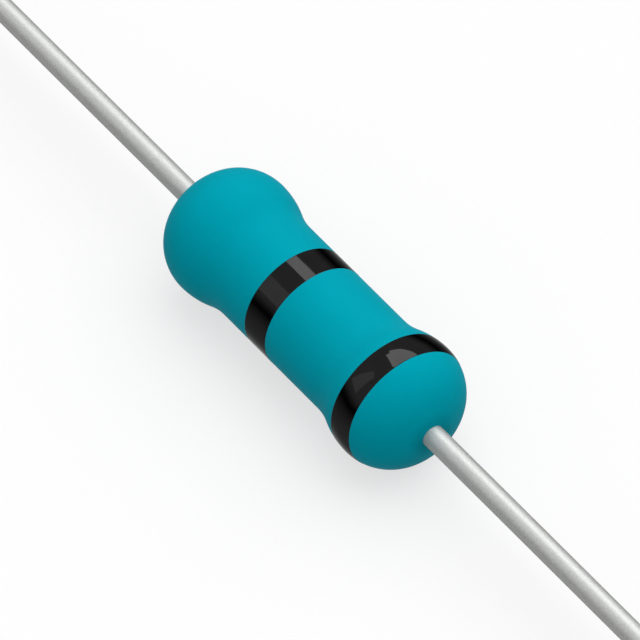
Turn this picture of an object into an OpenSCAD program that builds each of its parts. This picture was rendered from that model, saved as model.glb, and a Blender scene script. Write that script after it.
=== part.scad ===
// Axial film resistor with a dog-bone lacquer coat and two printed bands.
// A grooved resistive film on a ceramic rod, two pressed-on steel end caps, a wire
// welded to each cap, and lacquer over all but the wires.
// The leads lie along X, the body's middle is at the origin and +Z is up. Millimetres.

/* [Ceramic rod] */
// Diameter of the ceramic rod
rod_d = 2.38; // [2:0.02:2.8]
// Length of the ceramic rod
rod_length = 7.28; // [6.6:0.02:9]

/* [Resistive film] */
// Thickness of the resistive film on the rod
film_thickness = 0.03; // [0.02:0.005:0.05]
// Width of the spiral trimming groove
groove_w = 0.12; // [0.06:0.01:0.2]
// Advance of the groove in one turn
groove_pitch = 0.42; // [0.3:0.01:0.5]
// Turns of the groove around the rod
groove_turns = 7; // [3:1:8]
// Depth of the groove in the ceramic under the film
groove_depth = 0.03; // [0.01:0.005:0.08]

/* [End caps] */
// Sheet thickness of the pressed steel end caps
cap_wall = 0.18; // [0.12:0.01:0.25]
// Length of an end cap from its open rim to its outer face
cap_length = 1.45; // [1.1:0.05:1.6]
// Outer radius of the drawn corner between wall and face
cap_corner_r = 0.45; // [0.3:0.01:0.6]
// Gap between the cap's inner corner and the rounded rod end
rod_end_gap = 0.03; // [0.01:0.01:0.1]

/* [Lacquer] */
// Lacquer thickness over the barrel between the caps
coat_barrel = 0.165; // [0.12:0.005:0.2]
// Lacquer thickness over an end cap, at the crown of its bulge
coat_cap = 0.23; // [0.18:0.005:0.35]
// Lacquer thickness over the outer face of an end cap
coat_end = 0.68; // [0.4:0.02:0.9]
// Distance of a bulge's crown inward from the outer face of its cap
crown_inset = 0.68; // [0.5:0.02:0.8]
// Radius of the domed end faces
face_r = 2.14; // [2:0.02:3]
// Radius of a bulge's slope towards the barrel
shoulder_r = 2.05; // [1.6:0.05:2.4]
// Radius of the hollow where the slope meets the barrel
neck_r = 1.75; // [1:0.05:2]

/* [Bands] */
// Thickness of the printed bands, which lie flush with the lacquer around them
band_thickness = 0.03; // [0.02:0.005:0.06]
// Position of the middle band's centre along the body
middle_band_x = -0.375; // [-1.2:0.005:1.2]
// Width of the middle band
middle_band_w = 0.77; // [0.4:0.01:1]
// Width of the end band, on the crown of the bulge at +X
end_band_w = 0.66; // [0.4:0.01:0.9]

/* [Leads] */
// Diameter of the lead wires
lead_d = 0.55; // [0.4:0.05:0.6]
// Length of each lead outside the lacquer
lead_length = 28; // [10:0.5:38]
// Bevel at the cut end of each lead
lead_tip_bevel = 0.04; // [0.01:0.01:0.1]
// Diameter of the upset head welded to the cap
weld_d = 0.95; // [0.9:0.01:1.1]
// Height of the upset head
weld_h = 0.1; // [0.05:0.01:0.2]
// Radius of the fillet between head and wire
weld_fillet_r = 0.08; // [0.04:0.01:0.1]
// Extra radius that upsetting leaves on the wire at its head, gone at the lacquer's end
weld_swell = 0.02; // [0.005:0.005:0.03]

/* [Hidden] */
round_facets = 96;
arc_step = 3;
groove_steps_per_turn = 24;
// How far a cutting shape reaches past the surface that it cuts
cut_over = 0.05;

rod_r = rod_d / 2;
film_r = rod_r + film_thickness;
cap_r = film_r + cap_wall;
barrel_r = film_r + coat_barrel;
bulge_r = cap_r + coat_cap;
lead_r = lead_d / 2;
weld_r = weld_d / 2;

// Places along the axis, from the middle outwards
rod_end_x = rod_length / 2;
cap_face_x = rod_end_x + cap_wall;
cap_rim_x = cap_face_x - cap_length;
crown_x = cap_face_x - crown_inset;
body_end_x = cap_face_x + coat_end;
lead_tip_x = body_end_x + lead_length;

// Corner radii that nest inside each other: cap outside, cap inside, rod end
cap_inner_corner_r = cap_corner_r - cap_wall;
rod_edge_r = cap_inner_corner_r + rod_end_gap;
film_end_x = rod_end_x - rod_edge_r;

// Rim arc between crown and dome, tangent to both. Directions are measured from the axis.
dome_rise = body_end_x - crown_x;
rim_r = (2 * dome_rise * face_r - pow(dome_rise, 2) - pow(bulge_r, 2)) / (2 * (face_r - bulge_r));
rim_centre = [bulge_r - rim_r, crown_x];
face_centre = [0, body_end_x - face_r];
face_edge_angle = atan2(rim_centre[0] - face_centre[0], rim_centre[1] - face_centre[1]);

// Slope arc and hollow arc, tangent to each other, to the crown and to the barrel
bulge_rise = bulge_r - barrel_r;
arcs_r = shoulder_r + neck_r;
slope_angle = acos(1 - bulge_rise / arcs_r);
shoulder_centre = [bulge_r - shoulder_r, crown_x];
neck_centre = [barrel_r + neck_r, crown_x - arcs_r * sin(slope_angle)];

// Groove: rings of four corners along a helix about X
groove_length = groove_pitch * groove_turns;
groove_steps = groove_steps_per_turn * groove_turns;
groove_section = [
    [-groove_w / 2, rod_r - groove_depth], [groove_w / 2, rod_r - groove_depth],
    [groove_w / 2, film_r + cut_over], [-groove_w / 2, film_r + cut_over]];
corners = len(groove_section);

// A solid turned about X, from an outline drawn as [distance from the axis, place along X]
module turned() {
    rotate([0, 90, 0]) rotate_extrude($fn = round_facets) children();
}

// The same outline at both ends of the body
module both_ends() {
    for (side = [0, 1]) mirror([0, side]) children();
}

// Slice of a disc between two directions, measured from the axis towards the rim
module disc_slice(centre, r, from, to) {
    far = 2 * r;
    translate(centre) intersection() {
        circle(r, $fn = round_facets);
        polygon([[0, 0], far * [sin(from), cos(from)], far * [sin(to), cos(to)]]);
    }
}

// Outline of a round bar from one place to another, with its far corner rounded
module rounded_bar(r, from, to, corner_r) {
    translate([0, from]) square([r, to - corner_r - from]);
    translate([0, to - corner_r]) square([r - corner_r, corner_r]);
    disc_slice([r - corner_r, to - corner_r], corner_r, 0, 90);
}

// Points of an arc after its first one, between two directions
function arc(centre, r, from, to) =
    let (steps = ceil(abs(to - from) / arc_step))
    [for (i = [1:steps]) let (a = from + (to - from) * i / steps) centre + r * [sin(a), cos(a)]];

// Outline of the lacquered body, or of what lies deeper in it than the given depth, from
// the tip of the dome over the rim, crown and slope to the hollow, and the same mirrored
module body_outline(depth = 0) {
    end = concat(
        [[0, body_end_x - depth]],
        arc(face_centre, face_r - depth, 0, face_edge_angle),
        arc(rim_centre, rim_r - depth, face_edge_angle, 90),
        arc(shoulder_centre, shoulder_r - depth, 90, 90 + slope_angle),
        arc(neck_centre, neck_r + depth, slope_angle - 90, -90));
    other_end = [for (i = [len(end) - 1:-1:0]) [end[i][0], -end[i][1]]];
    polygon(concat(end, other_end));
}

// Room that a band takes out of the lacquer
module band_seat_outline(centre_x, width) {
    difference() {
        translate([0, centre_x - width / 2]) square([bulge_r + cut_over, width]);
        body_outline(band_thickness);
    }
}

module middle_seat_outline() {
    band_seat_outline(middle_band_x, middle_band_w);
}

module end_seat_outline() {
    band_seat_outline(crown_x, end_band_w);
}

// Outer outline of an end cap
module cap_outline() {
    rounded_bar(cap_r, cap_rim_x, cap_face_x, cap_corner_r);
}

// Outline of a lead: upset head, fillet, the wire's swollen start inside the lacquer, and
// the straight wire with its bevelled tip
module lead_outline() {
    head_top = cap_face_x + weld_h;
    fillet_centre = [lead_r + weld_swell + weld_fillet_r, head_top + weld_fillet_r];
    polygon(concat(
        [[0, cap_face_x], [weld_r, cap_face_x], [weld_r, head_top],
            [fillet_centre[0], head_top]],
        arc(fillet_centre, weld_fillet_r, 180, 270),
        [[lead_r, body_end_x], [lead_r, lead_tip_x - lead_tip_bevel],
            [lead_r - lead_tip_bevel, lead_tip_x], [0, lead_tip_x]]));
}

// Spiral cut that trims the film to its value and just marks the ceramic
module trimming_groove() {
    points = [for (i = [0:groove_steps], corner = groove_section)
        let (turn = 360 * i / groove_steps_per_turn)
        [groove_length * (i / groove_steps - 0.5) + corner[0],
            corner[1] * cos(turn), corner[1] * sin(turn)]];
    sides = [for (i = [0:groove_steps - 1], j = [0:corners - 1])
        let (here = i * corners, ahead = here + corners, next = (j + 1) % corners)
        each [[here + j, ahead + j, ahead + next], [here + j, ahead + next, here + next]]];
    first = [for (j = [0:corners - 1]) j];
    last = [for (j = [corners - 1:-1:0]) groove_steps * corners + j];
    polyhedron(points, concat([first], sides, [last]));
}

module ceramic_rod() {
    color("whitesmoke") difference() {
        turned() both_ends() rounded_bar(rod_r, 0, rod_end_x, rod_edge_r);
        trimming_groove();
    }
}

module resistive_film() {
    color("dimgray") difference() {
        turned() translate([rod_r, -film_end_x]) square([film_thickness, 2 * film_end_x]);
        trimming_groove();
    }
}

// Drawn steel cup, pressed over the film onto the rod's end
module end_cap() {
    color("lightgray") turned() difference() {
        cap_outline();
        rounded_bar(film_r, cap_rim_x, rod_end_x, cap_inner_corner_r);
    }
}

module end_cap_left() {
    mirror([1, 0, 0]) end_cap();
}

module end_cap_right() {
    end_cap();
}

// Tinned wire with the head that is welded to its cap
module lead() {
    color("silver") turned() lead_outline();
}

module lead_left() {
    mirror([1, 0, 0]) lead();
}

module lead_right() {
    lead();
}

// Lacquer over film, caps and weld heads, which fills all the room around them
module lacquer_coat() {
    color([0, 0.62, 0.7]) turned() difference() {
        body_outline();
        middle_seat_outline();
        end_seat_outline();
        translate([0, -cap_rim_x]) square([film_r, 2 * cap_rim_x]);
        both_ends() {
            cap_outline();
            lead_outline();
        }
    }
}

// Printed ring whose face carries on the lacquer's surface
module band() {
    color([0.13, 0.13, 0.13]) turned() intersection() {
        body_outline();
        children();
    }
}

module band_middle() {
    band() middle_seat_outline();
}

module band_end() {
    band() end_seat_outline();
}

ceramic_rod();
resistive_film();
end_cap_left();
end_cap_right();
lead_left();
lead_right();
lacquer_coat();
band_middle();
band_end();
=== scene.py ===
"""Looks of a small axial film resistor: dog-bone lacquer body, two printed bands, wire leads.

Lengths are in millimetres until a mesh is made, and MM turns them into metres there. An outline
is a list of [distance from the lead axis, place along it, printed edge], where 0 stands for no
printed edge. It is turned about the lead axis, which is X.
"""
from math import acos, asin, atan2, ceil, cos, degrees, pi, radians, sin, sqrt, tan

import bmesh
import bpy
from mathutils import Matrix, Vector


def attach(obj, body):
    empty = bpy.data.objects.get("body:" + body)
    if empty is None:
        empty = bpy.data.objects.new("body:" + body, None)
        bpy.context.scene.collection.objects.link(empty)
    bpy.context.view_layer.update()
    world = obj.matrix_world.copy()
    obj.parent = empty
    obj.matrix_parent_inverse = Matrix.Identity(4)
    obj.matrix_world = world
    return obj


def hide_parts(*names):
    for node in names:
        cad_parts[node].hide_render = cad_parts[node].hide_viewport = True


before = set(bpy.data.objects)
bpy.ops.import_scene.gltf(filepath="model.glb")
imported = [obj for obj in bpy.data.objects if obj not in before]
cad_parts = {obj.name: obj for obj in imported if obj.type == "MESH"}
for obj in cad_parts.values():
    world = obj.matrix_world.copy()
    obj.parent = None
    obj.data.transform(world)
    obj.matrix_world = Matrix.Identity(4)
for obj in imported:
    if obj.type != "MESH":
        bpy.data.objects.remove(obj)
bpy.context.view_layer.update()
MM = 0.001

# Driving sizes, as the solids have them

FILM_R = 1.22
CAP_WALL = 0.18
CAP_CORNER_R = 0.45
CAP_LENGTH = 1.45
CAP_FACE_X = 3.82
COAT_BARREL = 0.165
COAT_CAP = 0.23
COAT_END = 0.68
CROWN_INSET = 0.68
FACE_R = 2.14
SHOULDER_R = 2.05
NECK_R = 1.75
BAND_DEPTH = 0.03
MIDDLE_BAND_X = -0.375
MIDDLE_BAND_W = 0.77
END_BAND_W = 0.66
LEAD_R = 0.275
LEAD_LENGTH = 28
LEAD_TIP_BEVEL = 0.04
WELD_R = 0.475
WELD_H = 0.1
WELD_FILLET_R = 0.08
WELD_SWELL = 0.02

# Finer than the solids: ink stands just proud of the lacquer, and its edges wander.
# The knee of an ink edge lies at a share of its rise and a share of its width. A support row
# just inside the edge keeps the shading of the ink's face true up to there.
INK_RISE = 0.004
INK_EDGE_W = 0.01
INK_SUPPORT = 0.004
INK_KNEE_RISE = 0.6
INK_KNEE_INSET = 0.3
EDGE_WANDER = 0.012
EDGE_NOISE_STEP = 7.3

# Painted shade: the lacquer's colour is darkened where it meets a wire, and has its full colour
# this far off the axis
PAINTED_ROOT_SHADE = 0.83
PAINTED_ROOT_SHADE_R = 0.75

# Fineness of the meshes. Plain rows keep a margin from a printed edge, clear of its wander.
STEPS_ROUND_BODY = 192
STEPS_ROUND_LEAD = 72
ARC_STEP = 2.5
CAP_ARC_STEP = 10
WELD_ARC_STEP = 15
SKIN_STEP = 0.05
SLOPE_REACH = 0.001
EDGE_MARGIN = 0.02
SEAT_MARGIN = 0.05
WIRE_ROWS = 40
SEAM_MERGE = 0.0001

# Places and arcs that follow from the driving sizes

CAP_R = FILM_R + CAP_WALL
CAP_RIM_X = CAP_FACE_X - CAP_LENGTH
BARREL_R = FILM_R + COAT_BARREL
BULGE_R = CAP_R + COAT_CAP
CROWN_X = CAP_FACE_X - CROWN_INSET
BODY_END_X = CAP_FACE_X + COAT_END
LEAD_TIP_X = BODY_END_X + LEAD_LENGTH
MIDDLE_BAND = (MIDDLE_BAND_X - MIDDLE_BAND_W / 2, MIDDLE_BAND_X + MIDDLE_BAND_W / 2)
END_BAND = (CROWN_X - END_BAND_W / 2, CROWN_X + END_BAND_W / 2)

# Each band has this printed edge on its far side, and the next one on its near side
END_BAND_EDGE = 1
MIDDLE_BAND_EDGE = 3

DOME_RISE = BODY_END_X - CROWN_X
RIM_R = (2 * DOME_RISE * FACE_R - DOME_RISE ** 2 - BULGE_R ** 2) / (2 * (FACE_R - BULGE_R))
RIM_CENTRE = (BULGE_R - RIM_R, CROWN_X)
FACE_CENTRE = (0, BODY_END_X - FACE_R)
FACE_EDGE = degrees(atan2(RIM_CENTRE[0] - FACE_CENTRE[0], RIM_CENTRE[1] - FACE_CENTRE[1]))
ARCS_R = SHOULDER_R + NECK_R
SLOPE = acos(1 - (BULGE_R - BARREL_R) / ARCS_R)
SHOULDER_CENTRE = (BULGE_R - SHOULDER_R, CROWN_X)
NECK_CENTRE = (BARREL_R + NECK_R, CROWN_X - ARCS_R * sin(SLOPE))
NECK_END_X = NECK_CENTRE[1] + NECK_R * sin(SLOPE)


# Outlines

def arc(centre, r, start, end, step=ARC_STEP):
    """Points of an arc after its first one. Directions are in degrees from the lead axis."""
    steps = max(1, ceil(abs(end - start) / step))
    points = []
    for i in range(1, steps + 1):
        a = radians(start + (end - start) * i / steps)
        points.append([centre[0] + r * sin(a), centre[1] + r * cos(a), 0])
    return points


def body_radius(x):
    """Radius of the lacquered body between the two rims."""
    x = abs(x)
    if x <= NECK_CENTRE[1]:
        return BARREL_R
    if x <= NECK_END_X:
        return NECK_CENTRE[0] - sqrt(NECK_R ** 2 - (x - NECK_CENTRE[1]) ** 2)
    if x <= CROWN_X:
        return SHOULDER_CENTRE[0] + sqrt(SHOULDER_R ** 2 - (x - CROWN_X) ** 2)
    return RIM_CENTRE[0] + sqrt(RIM_R ** 2 - (x - CROWN_X) ** 2)


def skin_point(x, depth=0.0):
    """A point of the body's surface, or one square below it at a depth."""
    rise = body_radius(x + SLOPE_REACH) - body_radius(x - SLOPE_REACH)
    slope = rise / (2 * SLOPE_REACH)
    length = sqrt(1 + slope * slope)
    return [body_radius(x) - depth / length, x + depth * slope / length, 0]


def skin(start, end, depth=0.0):
    """The body's surface between two places inside the rims, at a depth below it."""
    steps = ceil(abs(end - start) / SKIN_STEP)
    return [skin_point(start + (end - start) * i / steps, depth) for i in range(steps + 1)]


def numbered(points, edge):
    """The same points, all belonging to one printed edge."""
    return [[r, x, edge] for r, x, _ in points]


def mirrored(points):
    """The same outline at the other end of the body, walked the other way."""
    return [[r, -x, edge] for r, x, edge in reversed(points)]


def half_dome():
    """From the wire's surface over the dome and rim to just before the end band."""
    wire = degrees(asin(LEAD_R / FACE_R))
    last_x = END_BAND[1] + EDGE_MARGIN
    last = degrees(atan2(body_radius(last_x) - RIM_CENTRE[0], last_x - CROWN_X))
    return (
        [[LEAD_R, FACE_CENTRE[1] + FACE_R * cos(radians(wire)), 0]]
        + arc(FACE_CENTRE, FACE_R, wire, FACE_EDGE)
        + arc(RIM_CENTRE, RIM_R, FACE_EDGE, last)
    )


def seat(band, first_edge):
    """The shallow seat of a printed band, walked from its far side to its near side."""
    near, far = band
    return (
        numbered([skin_point(far), skin_point(far, BAND_DEPTH)], first_edge)
        + skin(far - SEAT_MARGIN, near + SEAT_MARGIN, BAND_DEPTH)
        + numbered([skin_point(near, BAND_DEPTH), skin_point(near)], first_edge + 1)
    )


def weld_profile():
    """The upset weld head and its fillet, from the cap's face to the start of the wire."""
    head_top = CAP_FACE_X + WELD_H
    fillet = (LEAD_R + WELD_SWELL + WELD_FILLET_R, head_top + WELD_FILLET_R)
    return (
        [[WELD_R, CAP_FACE_X, 0], [WELD_R, head_top, 0], [fillet[0], head_top, 0]]
        + arc(fillet, WELD_FILLET_R, 180, 270, WELD_ARC_STEP)
    )


def room_inside():
    """The lacquer's inner wall at the right end: over the film, the cap and the weld head."""
    corner = (CAP_R - CAP_CORNER_R, CAP_FACE_X - CAP_CORNER_R)
    return (
        [[FILM_R, CAP_RIM_X, 0], [CAP_R, CAP_RIM_X, 0], [CAP_R, corner[1], 0]]
        + arc(corner, CAP_CORNER_R, 90, 0, CAP_ARC_STEP)
        + weld_profile()
    )


def lacquer_outline():
    """Closed outline of the lacquer, outside from the right end to the left, then back inside."""
    dome = half_dome()
    outside = (
        dome
        + seat(END_BAND, END_BAND_EDGE)
        + skin(END_BAND[0] - EDGE_MARGIN, MIDDLE_BAND[1] + EDGE_MARGIN)
        + seat(MIDDLE_BAND, MIDDLE_BAND_EDGE)
        + skin(MIDDLE_BAND[0] - EDGE_MARGIN, -CROWN_X)
        + mirrored(dome + skin(END_BAND[1], CROWN_X + EDGE_MARGIN))
    )
    inside = mirrored(room_inside()) + room_inside()
    return outside + inside + [outside[0]]


def ink_outline(band, first_edge):
    """Closed outline of a printed ring: rounded edges, a face just proud of the lacquer."""
    near, far = band
    first, last = far - INK_EDGE_W, near + INK_EDGE_W
    face = (
        [skin_point(first, -INK_RISE)]
        + skin(first - INK_SUPPORT, last + INK_SUPPORT, -INK_RISE)
        + [skin_point(last, -INK_RISE)]
    )
    back = skin(near, far, BAND_DEPTH)
    rise, inset = INK_KNEE_RISE * INK_RISE, INK_KNEE_INSET * INK_EDGE_W
    far_edge = [[body_radius(far), far, 0], [body_radius(far) + rise, far - inset, 0]]
    near_edge = [[body_radius(near) + rise, near + inset, 0], [body_radius(near), near, 0]]
    ring = (
        numbered(far_edge + face[:2], first_edge)
        + face[2:-2]
        + numbered(face[-2:] + near_edge + back[:1], first_edge + 1)
        + back[1:-1]
        + numbered(back[-1:], first_edge)
    )
    return ring + [ring[0]]


def lead_outline():
    """The right lead from the axis at the weld, over head, fillet and wire, to its cut tip."""
    length = LEAD_TIP_X - LEAD_TIP_BEVEL - BODY_END_X
    return (
        [[0, CAP_FACE_X, 0]]
        + weld_profile()
        + [[LEAD_R, BODY_END_X + length * i / WIRE_ROWS, 0] for i in range(WIRE_ROWS + 1)]
        + [[LEAD_R - LEAD_TIP_BEVEL, LEAD_TIP_X, 0], [0, LEAD_TIP_X, 0]]
    )


# Node trees

class Tree:
    """A node tree that is written from left to right."""

    def __init__(self, tree):
        self.tree = tree

    def add(self, kind, **settings):
        node = self.tree.nodes.new(kind)
        for key, value in settings.items():
            setattr(node, key, value)
        return node

    def join(self, *pairs):
        for out, into in pairs:
            self.tree.links.new(out, into)


def math_node(t, operation, first, second=None):
    """One operation on numbers or sockets."""
    node = t.add("ShaderNodeMath", operation=operation)
    for socket, value in zip(node.inputs, (first, second)):
        if isinstance(value, (int, float)):
            socket.default_value = value
        elif value is not None:
            t.join((value, socket))
    return node.outputs[0]


def turning_tree():
    """Turns an outline about the lead axis. Printed edges wander a little."""
    group = bpy.data.node_groups.new("turned about the lead axis", "GeometryNodeTree")
    face = group.interface
    face.new_socket("Outline", in_out="INPUT", socket_type="NodeSocketGeometry")
    for name, kind, value in (
        ("Steps Around", "NodeSocketInt", STEPS_ROUND_BODY),
        ("Edge Wander", "NodeSocketFloat", 0.0),
        ("Waves Around", "NodeSocketFloat", 1.6),
        ("Crease Angle", "NodeSocketFloat", radians(35)),
        ("Merge Distance", "NodeSocketFloat", SEAM_MERGE * MM),
    ):
        face.new_socket(name, in_out="INPUT", socket_type=kind).default_value = value
    face.new_socket("Finish", in_out="INPUT", socket_type="NodeSocketMaterial")
    face.new_socket("Turned Piece", in_out="OUTPUT", socket_type="NodeSocketGeometry")

    # A flat grid with a column for each step around and a row for each point of the outline
    t = Tree(group)
    given = t.add("NodeGroupInput").outputs
    size = t.add("GeometryNodeAttributeDomainSize", component="MESH")
    around = math_node(t, "ADD", given["Steps Around"], 1)
    grid = t.add("GeometryNodeMeshGrid")
    grid.inputs["Size X"].default_value = 1
    grid.inputs["Size Y"].default_value = 1
    t.join((given["Outline"], size.inputs[0]), (around, grid.inputs["Vertices X"]),
           (size.outputs["Point Count"], grid.inputs["Vertices Y"]))

    place = t.add("ShaderNodeSeparateXYZ")
    t.join((t.add("GeometryNodeInputPosition").outputs[0], place.inputs[0]))
    share_along = math_node(t, "ADD", place.outputs["Y"], 0.5)
    last_row = math_node(t, "SUBTRACT", size.outputs["Point Count"], 1)
    row = math_node(t, "ROUND", math_node(t, "MULTIPLY", share_along, last_row))
    turn = math_node(t, "MULTIPLY", math_node(t, "ADD", place.outputs["X"], 0.5), radians(360))

    point = t.add("GeometryNodeSampleIndex", data_type="FLOAT_VECTOR", domain="POINT")
    t.join((given["Outline"], point.inputs["Geometry"]), (row, point.inputs["Index"]),
           (t.add("GeometryNodeInputPosition").outputs[0], point.inputs["Value"]))
    edge_name = t.add("GeometryNodeInputNamedAttribute", data_type="FLOAT")
    edge_name.inputs["Name"].default_value = "printed_edge"
    edge = t.add("GeometryNodeSampleIndex", data_type="FLOAT", domain="POINT")
    t.join((given["Outline"], edge.inputs["Geometry"]), (row, edge.inputs["Index"]),
           (edge_name.outputs["Attribute"], edge.inputs["Value"]))

    spun = t.add("ShaderNodeVectorRotate", rotation_type="X_AXIS")
    t.join((point.outputs["Value"], spun.inputs["Vector"]), (turn, spun.inputs["Angle"]))

    # Noise on a circle of one radius for every row, so that all rows of one edge move together
    circle = t.add("ShaderNodeCombineXYZ")
    t.join((math_node(t, "SINE", turn), circle.inputs["Y"]),
           (math_node(t, "COSINE", turn), circle.inputs["Z"]))
    noise = t.add("ShaderNodeTexNoise", noise_dimensions="4D")
    noise.inputs["Detail"].default_value = 3
    t.join((circle.outputs[0], noise.inputs["Vector"]),
           (math_node(t, "MULTIPLY", edge.outputs["Value"], EDGE_NOISE_STEP), noise.inputs["W"]),
           (given["Waves Around"], noise.inputs["Scale"]))
    on_edge = math_node(t, "GREATER_THAN", edge.outputs["Value"], 0.5)
    swing = math_node(t, "MULTIPLY", math_node(t, "SUBTRACT", noise.outputs["Fac"], 0.5),
                      given["Edge Wander"])
    shift = t.add("ShaderNodeCombineXYZ")
    t.join((math_node(t, "MULTIPLY", swing, on_edge), shift.inputs["X"]))

    placed = t.add("GeometryNodeSetPosition")
    merged = t.add("GeometryNodeMergeByDistance")
    smooth = t.add("GeometryNodeSetShadeSmooth", domain="FACE")
    crease = t.add("GeometryNodeSetShadeSmooth", domain="EDGE")
    crease.inputs["Shade Smooth"].default_value = False
    angle = t.add("GeometryNodeInputMeshEdgeAngle")
    real = t.add("GeometryNodeRealizeInstances")
    finish = t.add("GeometryNodeSetMaterial")
    out = t.add("NodeGroupOutput")
    t.join(
        (grid.outputs["Mesh"], placed.inputs["Geometry"]),
        (spun.outputs[0], placed.inputs["Position"]),
        (shift.outputs[0], placed.inputs["Offset"]),
        (placed.outputs[0], merged.inputs["Geometry"]),
        (given["Merge Distance"], merged.inputs["Distance"]),
        (merged.outputs[0], smooth.inputs["Geometry"]),
        (smooth.outputs[0], crease.inputs["Geometry"]),
        (math_node(t, "GREATER_THAN", angle.outputs["Unsigned Angle"], given["Crease Angle"]),
         crease.inputs["Selection"]),
        (crease.outputs[0], real.inputs[0]),
        (real.outputs[0], finish.inputs["Geometry"]),
        (given["Finish"], finish.inputs["Material"]),
        (finish.outputs[0], out.inputs[0]),
    )
    return group


def in_scene(name, data):
    """An object at the origin that holds a mesh, a lamp or a camera."""
    holder = bpy.data.objects.new(name, data)
    bpy.context.scene.collection.objects.link(holder)
    return holder


def turned_piece(name, outline, material, steps, wander=0.0, left=False):
    """One turned piece as a plain closed mesh, with its faces pointing outwards."""
    rows = bpy.data.meshes.new(name)
    side = -1 if left else 1
    rows.from_pydata([(side * x * MM, 0, r * MM) for r, x, _ in outline],
                     [(i, i + 1) for i in range(len(outline) - 1)], [])
    edges = rows.attributes.new("printed_edge", "FLOAT", "POINT")
    edges.data.foreach_set("value", [float(edge) for _, _, edge in outline])
    piece = in_scene(name, rows)
    modifier = piece.modifiers.new("turned", "NODES")
    modifier.node_group = TURNING
    values = {"Steps Around": steps, "Edge Wander": wander * MM, "Finish": material}
    for item in TURNING.interface.items_tree:
        if item.in_out == "INPUT" and item.name in values:
            modifier[item.identifier] = values[item.name]
    seen = piece.evaluated_get(bpy.context.evaluated_depsgraph_get())
    mesh = bpy.data.meshes.new_from_object(seen)
    piece.modifiers.remove(modifier)
    piece.data = mesh
    mesh.name = name
    bpy.data.meshes.remove(rows)
    work = bmesh.new()
    work.from_mesh(mesh)
    bmesh.ops.recalc_face_normals(work, faces=work.faces)
    if work.calc_volume(signed=True) < 0:
        bmesh.ops.reverse_faces(work, faces=work.faces)
    work.to_mesh(mesh)
    work.free()
    return piece


# Finishes

TEAL_DEEP = (0.0, 0.35, 0.447)
TEAL_BRIGHT = (0.0, 0.37, 0.471)
INK_BLACK = (0.024, 0.024, 0.0245)
INK_PALE = (0.027, 0.027, 0.027)
TIN_DULL = (0.56, 0.57, 0.555)
TIN_BRIGHT = (0.69, 0.70, 0.685)
CERAMIC_SPECK = (0.74, 0.71, 0.66)
CERAMIC_SHADE = (0.86, 0.84, 0.80)
CERAMIC_WHITE = (0.9, 0.88, 0.84)
ALLOY_DARK = (0.30, 0.285, 0.27)
ALLOY_PALE = (0.37, 0.36, 0.34)
STEEL_STAIN = (0.62, 0.61, 0.58)
STEEL_BRIGHT = (0.72, 0.71, 0.69)

# Most values of a noise lie between these
NOISE_LOW = 0.3
NOISE_HIGH = 0.7


def new_finish(name, constants):
    """A Principled finish with its constants set straight on its sockets."""
    material = bpy.data.materials.new(name)
    material.use_nodes = True
    shader = material.node_tree.nodes["Principled BSDF"]
    for socket, value in constants.items():
        shader.inputs[socket].default_value = value
    return material, Tree(material.node_tree), shader


def object_pattern(t, along=1.0):
    """Object coordinates in millimetres. A share below 1 stretches a pattern along the leads."""
    where = t.add("ShaderNodeTexCoord")
    mapping = t.add("ShaderNodeMapping")
    mapping.inputs["Scale"].default_value = (along / MM, 1 / MM, 1 / MM)
    t.join((where.outputs["Object"], mapping.inputs["Vector"]))
    return mapping.outputs[0]


def noise_at(t, vector, scale, detail, roughness=0.5):
    """A noise with so many lumps in a millimetre."""
    noise = t.add("ShaderNodeTexNoise")
    noise.inputs["Scale"].default_value = scale
    noise.inputs["Detail"].default_value = detail
    noise.inputs["Roughness"].default_value = roughness
    t.join((vector, noise.inputs["Vector"]))
    return noise.outputs["Fac"]


def spread(t, value, low, high, start=NOISE_LOW, end=NOISE_HIGH, ease="LINEAR"):
    """Maps a noise or a distance between start and end onto plain values from low to high."""
    node = t.add("ShaderNodeMapRange", interpolation_type=ease)
    for name, number in (("From Min", start), ("From Max", end), ("To Min", low), ("To Max", high)):
        node.inputs[name].default_value = number
    t.join((value, node.inputs["Value"]))
    return node.outputs[0]


def tone(t, value, *stops):
    """Colours between stops of (place, colour)."""
    ramp = t.add("ShaderNodeValToRGB")
    steps = ramp.color_ramp.elements
    while len(steps) < len(stops):
        steps.new(0.5)
    for step, (place, colour) in zip(steps, stops):
        step.position = place
        step.color = (*colour, 1)
    t.join((value, ramp.inputs["Fac"]))
    return ramp.outputs["Color"]


def bumps(t, shader, *layers):
    """Stacks fine relief. Each layer is a height, its strength and its depth in millimetres."""
    below = None
    for height, strength, depth in layers:
        bump = t.add("ShaderNodeBump")
        bump.inputs["Strength"].default_value = strength
        bump.inputs["Distance"].default_value = depth * MM
        t.join((height, bump.inputs["Height"]))
        if below:
            t.join((below, bump.inputs["Normal"]))
        below = bump.outputs["Normal"]
    t.join((below, shader.inputs["Normal"]))


def painted_root_shade(t, where):
    """Painted shade around the wires: how much of its colour the lacquer has, by the distance from
    the lead axis.
    """
    place = t.add("ShaderNodeSeparateXYZ")
    flat = t.add("ShaderNodeCombineXYZ")
    off_axis = t.add("ShaderNodeVectorMath", operation="LENGTH")
    t.join((where, place.inputs[0]), (place.outputs["Y"], flat.inputs["Y"]),
           (place.outputs["Z"], flat.inputs["Z"]), (flat.outputs[0], off_axis.inputs[0]))
    return spread(t, off_axis.outputs["Value"], PAINTED_ROOT_SHADE, 1, LEAD_R, PAINTED_ROOT_SHADE_R, "SMOOTHERSTEP")


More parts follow.
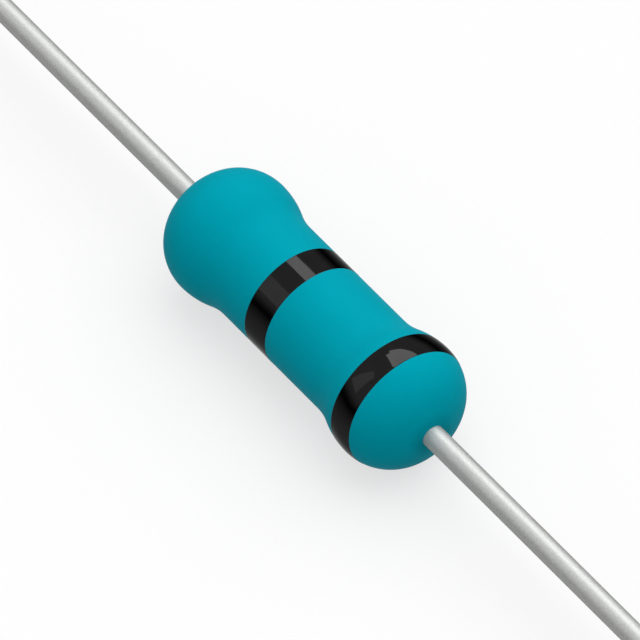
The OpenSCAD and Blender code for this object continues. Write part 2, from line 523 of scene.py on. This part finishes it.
def teal_lacquer():
    """Satin dipped lacquer: pigment that clouds a little, fine orange peel, painted shade at the
    wires.
    """
    material, t, shader = new_finish("teal lacquer", {
        "Specular IOR Level": 0.03, "IOR": 1.5, "Specular Tint": (0.0, 0.8, 1.0, 1)})
    plain = object_pattern(t)
    clouds = noise_at(t, plain, scale=0.9, detail=3)
    grain = noise_at(t, plain, scale=26, detail=2)
    peel = noise_at(t, plain, scale=7, detail=2, roughness=0.4)
    mixed = math_node(t, "ADD", math_node(t, "MULTIPLY", clouds, 0.7),
                      math_node(t, "MULTIPLY", grain, 0.3))
    shaded = t.add("ShaderNodeMix", data_type="RGBA", blend_type="MULTIPLY")
    shaded.inputs["Factor"].default_value = 1
    t.join(
        (tone(t, mixed, (NOISE_LOW, TEAL_DEEP), (NOISE_HIGH, TEAL_BRIGHT)), shaded.inputs["A"]),
        # Painted shade: the lacquer's colour is darkened around each wire
        (painted_root_shade(t, plain), shaded.inputs["B"]),
        (shaded.outputs["Result"], shader.inputs["Base Color"]),
        (spread(t, grain, 0.50, 0.62), shader.inputs["Roughness"]),
    )
    bumps(t, shader, (peel, 0.35, 0.004), (grain, 0.2, 0.0012))
    return material


def band_ink():
    """Glossy black ring ink with a faint skin and pinhead unevenness."""
    material, t, shader = new_finish("black band ink", {
        "Metallic": 1.0, "Specular Tint": (0.55, 0.55, 0.55, 1)})
    plain = object_pattern(t)
    ripple = noise_at(t, plain, scale=3.2, detail=2)
    dust = noise_at(t, plain, scale=38, detail=2)
    t.join(
        (tone(t, ripple, (NOISE_LOW, INK_BLACK), (NOISE_HIGH, INK_PALE)),
         shader.inputs["Base Color"]),
        (spread(t, dust, 0.03, 0.07), shader.inputs["Roughness"]),
    )
    bumps(t, shader, (ripple, 0.1, 0.0015), (dust, 0.06, 0.0002))
    return material


def tinned_wire():
    """Tinned wire: dull satin metal with a fine sandy grain."""
    material, t, shader = new_finish("tinned wire", {
        "Metallic": 0.72, "Specular Tint": (0.0, 0.0, 0.0, 1)})
    grain = noise_at(t, object_pattern(t, along=0.8), scale=30, detail=1, roughness=0.6)
    t.join(
        (tone(t, grain, (NOISE_LOW, TIN_DULL), (NOISE_HIGH, TIN_BRIGHT)),
         shader.inputs["Base Color"]),
        (spread(t, grain, 0.49, 0.57), shader.inputs["Roughness"]),
    )
    bumps(t, shader, (grain, 0.5, 0.005))
    return material


def rod_ceramic():
    """Fired ceramic: off-white, matt, with fine grain and a few darker grains."""
    material, t, shader = new_finish("fired ceramic", {"Specular IOR Level": 0.4})
    plain = object_pattern(t)
    grain = noise_at(t, plain, scale=30, detail=3)
    patches = noise_at(t, plain, scale=2, detail=2)
    t.join(
        (tone(t, grain, (0.25, CERAMIC_SPECK), (0.4, CERAMIC_SHADE), (NOISE_HIGH, CERAMIC_WHITE)),
         shader.inputs["Base Color"]),
        (spread(t, patches, 0.62, 0.78), shader.inputs["Roughness"]),
    )
    bumps(t, shader, (grain, 0.5, 0.003))
    return material


def resistive_alloy():
    """Sputtered metal film, dark and dull, with the rod's grain showing through."""
    material, t, shader = new_finish("resistive film", {"Metallic": 1.0})
    plain = object_pattern(t)
    grain = noise_at(t, plain, scale=30, detail=3)
    patches = noise_at(t, plain, scale=1.4, detail=2)
    t.join(
        (tone(t, patches, (NOISE_LOW, ALLOY_DARK), (NOISE_HIGH, ALLOY_PALE)),
         shader.inputs["Base Color"]),
        (spread(t, grain, 0.38, 0.55), shader.inputs["Roughness"]),
    )
    bumps(t, shader, (grain, 0.3, 0.002))
    return material


def cap_steel():
    """Plated drawn steel cup, with drawing marks along its wall."""
    material, t, shader = new_finish("plated cap steel", {"Metallic": 1.0})
    marks = noise_at(t, object_pattern(t, along=0.25), scale=14, detail=3)
    stains = noise_at(t, object_pattern(t), scale=1.8, detail=3)
    t.join(
        (tone(t, stains, (NOISE_LOW, STEEL_STAIN), (NOISE_HIGH, STEEL_BRIGHT)),
         shader.inputs["Base Color"]),
        (spread(t, marks, 0.28, 0.42), shader.inputs["Roughness"]),
    )
    bumps(t, shader, (marks, 0.3, 0.0015))
    return material


# Pieces

TURNING = turning_tree()
lacquer_finish, ink_finish, wire_finish = teal_lacquer(), band_ink(), tinned_wire()

coat = turned_piece("lacquer_body", lacquer_outline(), lacquer_finish,
                    STEPS_ROUND_BODY, EDGE_WANDER)
end_ring = turned_piece("end_band_ink", ink_outline(END_BAND, END_BAND_EDGE), ink_finish,
                        STEPS_ROUND_BODY, EDGE_WANDER)
middle_ring = turned_piece("middle_band_ink", ink_outline(MIDDLE_BAND, MIDDLE_BAND_EDGE),
                           ink_finish, STEPS_ROUND_BODY, EDGE_WANDER)
right_wire = turned_piece("right_wire", lead_outline(), wire_finish, STEPS_ROUND_LEAD)
left_wire = turned_piece("left_wire", lead_outline(), wire_finish, STEPS_ROUND_LEAD, left=True)

for piece, node, slot in (
    (coat, "lacquer_coat", "coat_lacquer"),
    (end_ring, "band_end", "band_ink"),
    (middle_ring, "band_middle", "band_ink"),
    (right_wire, "lead_right", "lead_tinned"),
    (left_wire, "lead_left", "lead_tinned"),
):
    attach(piece, "root")
    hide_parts(node)

inner_finishes = {"ceramic_rod": rod_ceramic(), "resistive_film": resistive_alloy()}
inner_finishes["end_cap_left"] = inner_finishes["end_cap_right"] = cap_steel()
for node, finish in inner_finishes.items():
    for material_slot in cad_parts[node].material_slots:
        material_slot.material = finish

# Studio. Directions are (azimuth from +X towards +Y, elevation), in degrees.

SKY_LEVEL = 0.6
FLOOR_ALBEDO = 0.33
FLOOR_GLOW = 0.65
FLOOR_FADE = 0.42
FLOOR_REACH = 4000
WALL_DISTANCE = 600
WALL_FOOT = -10
WALL_TOP = 22
WALL_STEPS = 64
WALL_DUSK = 0.03
KEY_DIRECTION = (100, 65)
KEY_LEVEL = 0.47
FILL_DIRECTION = (-44, 3)
FILL_LEVEL = 0.31
LAMP_BREADTH = 80
PANEL_DISTANCE = 400
HIGH_SOFTBOX = ((156, 47.3), (158.2, 52), (166.2, 52.6), (168.5, 81), (75, 80), (75, 47),
                (103, 43.5), (120, 44), (138, 43.8))
HIGH_SOFTBOX_LEVEL = 3.7
SIDE_SOFTBOX = ((-140.5, 21.5), (-143, 46.5), (-141, 56.8), (-117.5, 56.8), (-116.5, 21))
SIDE_SOFTBOX_LEVEL = 1.08

# The camera looks at a point just right of and below the body's middle, in its own picture
CAMERA_BACK = Vector((0.5506, -0.4048, 0.7301))
CAMERA_RIGHT = Vector((0.5923, 0.8057, 0))
CAMERA_UP = Vector((-0.5882, 0.4324, 0.6834))
CAMERA_DISTANCE = 318.55
CAMERA_LENS = 794.6
AIM_RIGHT = 0.131
AIM_DOWN = 0.059


def towards(azimuth, elevation):
    """Unit vector from the object in a direction."""
    a, e = radians(azimuth), radians(elevation)
    return Vector((cos(e) * cos(a), cos(e) * sin(a), sin(e)))


def studio_finish(name):
    """A material for the studio, with an empty node tree."""
    material = bpy.data.materials.new(name)
    material.use_nodes = True
    material.node_tree.nodes.clear()
    return material, Tree(material.node_tree)


def studio_piece(name, points, faces, material):
    """A floor, wall or panel that isn't part of the object. Its points are in metres."""
    mesh = bpy.data.meshes.new(name)
    mesh.from_pydata(points, [], faces)
    mesh.materials.append(material)
    piece = in_scene(name, mesh)
    return piece


def pale_floor():
    """Pale matt floor, white to the camera and to reflections, less the object's shadow.

    It lies just under the end band's ink, on which the body rests. Reflections see it fade
    towards the horizon, where the dusky wall begins.
    """
    material, t = studio_finish("pale floor")
    diffuse = t.add("ShaderNodeBsdfDiffuse")
    diffuse.inputs["Color"].default_value = (FLOOR_ALBEDO, FLOOR_ALBEDO, FLOOR_ALBEDO, 1)
    glow = t.add("ShaderNodeEmission")
    path = t.add("ShaderNodeLightPath")
    seen = math_node(t, "MAXIMUM", path.outputs["Is Camera Ray"],
                     math_node(t, "MAXIMUM", path.outputs["Is Glossy Ray"],
                               path.outputs["Is Transmission Ray"]))
    both = t.add("ShaderNodeAddShader")
    slant = t.add("ShaderNodeLayerWeight")
    slant.inputs["Blend"].default_value = FLOOR_FADE
    faded = t.add("ShaderNodeMixShader")
    out = t.add("ShaderNodeOutputMaterial")
    t.join((math_node(t, "MULTIPLY", seen, FLOOR_GLOW), glow.inputs["Strength"]),
           (diffuse.outputs[0], both.inputs[0]), (glow.outputs[0], both.inputs[1]),
           (math_node(t, "MULTIPLY", path.outputs["Is Glossy Ray"], slant.outputs["Facing"]),
            faded.inputs["Fac"]),
           (both.outputs[0], faded.inputs[1]), (faded.outputs[0], out.inputs["Surface"]))
    reach, level = FLOOR_REACH * MM, -(BULGE_R + INK_RISE) * MM
    corners = [(-reach, -reach, level), (reach, -reach, level), (reach, reach, level),
               (-reach, reach, level)]
    studio_piece("studio_floor", corners, [(0, 1, 2, 3)], material)


def dusky_wall():
    """The studio's far wall, dark at the floor and as bright as the sky at its top."""
    distance, low = WALL_DISTANCE * MM, WALL_FOOT * MM
    high = distance * tan(radians(WALL_TOP))
    turns = [radians(360 * i / WALL_STEPS) for i in range(WALL_STEPS)]
    points = [(distance * cos(a), distance * sin(a), z) for z in (low, high) for a in turns]
    faces = []
    for i in range(WALL_STEPS):
        ahead = (i + 1) % WALL_STEPS
        faces.append((i, ahead, WALL_STEPS + ahead, WALL_STEPS + i))
    material, t = studio_finish("studio wall")
    height = t.add("ShaderNodeSeparateXYZ")
    t.join((t.add("ShaderNodeTexCoord").outputs["Object"], height.inputs[0]))
    glow = t.add("ShaderNodeEmission")
    t.join((spread(t, height.outputs["Z"], WALL_DUSK, SKY_LEVEL, 0.0, high, "SMOOTHSTEP"),
            glow.inputs["Strength"]),
           (glow.outputs[0], t.add("ShaderNodeOutputMaterial").inputs["Surface"]))
    wall = studio_piece("studio_wall", points, faces, material)
    wall.visible_camera = wall.visible_shadow = wall.visible_transmission = False


def softbox(name, corners, strength):
    """A flat lit panel that only reflections see, with its corners in given directions."""
    directions = [towards(*corner) for corner in corners]
    facing = sum(directions, Vector()).normalized()
    points = [d * (PANEL_DISTANCE * MM / d.dot(facing)) for d in directions]
    material, t = studio_finish(name)
    glow = t.add("ShaderNodeEmission")
    glow.inputs["Strength"].default_value = strength
    t.join((glow.outputs[0], t.add("ShaderNodeOutputMaterial").inputs["Surface"]))
    panel = studio_piece(name, points, [tuple(range(len(points)))], material)
    panel.visible_camera = panel.visible_diffuse = panel.visible_shadow = False
    panel.visible_transmission = panel.visible_volume_scatter = False


def soft_lamp(name, direction, level):
    """A broad soft lamp for matt surfaces. It stays out of reflections."""
    lamp = bpy.data.lights.new(name, "SUN")
    lamp.energy = level * pi
    lamp.angle = radians(LAMP_BREADTH)
    holder = in_scene(name, lamp)
    holder.rotation_mode = "QUATERNION"
    holder.rotation_quaternion = towards(*direction).to_track_quat("Z", "Y")
    holder.visible_glossy = False


def studio():
    """Sky, floor, wall and lamps."""
    world = bpy.data.worlds.new("studio")
    bpy.context.scene.world = world
    world.use_nodes = True
    sky = world.node_tree.nodes["Background"]
    sky.inputs["Color"].default_value = (1, 1, 1, 1)
    sky.inputs["Strength"].default_value = SKY_LEVEL
    pale_floor()
    dusky_wall()
    soft_lamp("overhead key", KEY_DIRECTION, KEY_LEVEL)
    soft_lamp("low fill", FILL_DIRECTION, FILL_LEVEL)
    softbox("high_softbox", HIGH_SOFTBOX, HIGH_SOFTBOX_LEVEL)
    softbox("side_softbox", SIDE_SOFTBOX, SIDE_SOFTBOX_LEVEL)


def photograph_camera():
    """The camera at the photograph's viewing angle."""
    lens = bpy.data.cameras.new("camera")
    lens.lens = CAMERA_LENS
    camera = in_scene("camera", lens)
    aim = CAMERA_RIGHT * AIM_RIGHT - CAMERA_UP * AIM_DOWN
    turn = Matrix((CAMERA_RIGHT, CAMERA_UP, CAMERA_BACK)).transposed().to_4x4()
    camera.matrix_world = Matrix.Translation((aim + CAMERA_BACK * CAMERA_DISTANCE) * MM) @ turn
    bpy.context.scene.camera = camera


studio()
photograph_camera()
bpy.context.scene.view_settings.view_transform = "Standard"
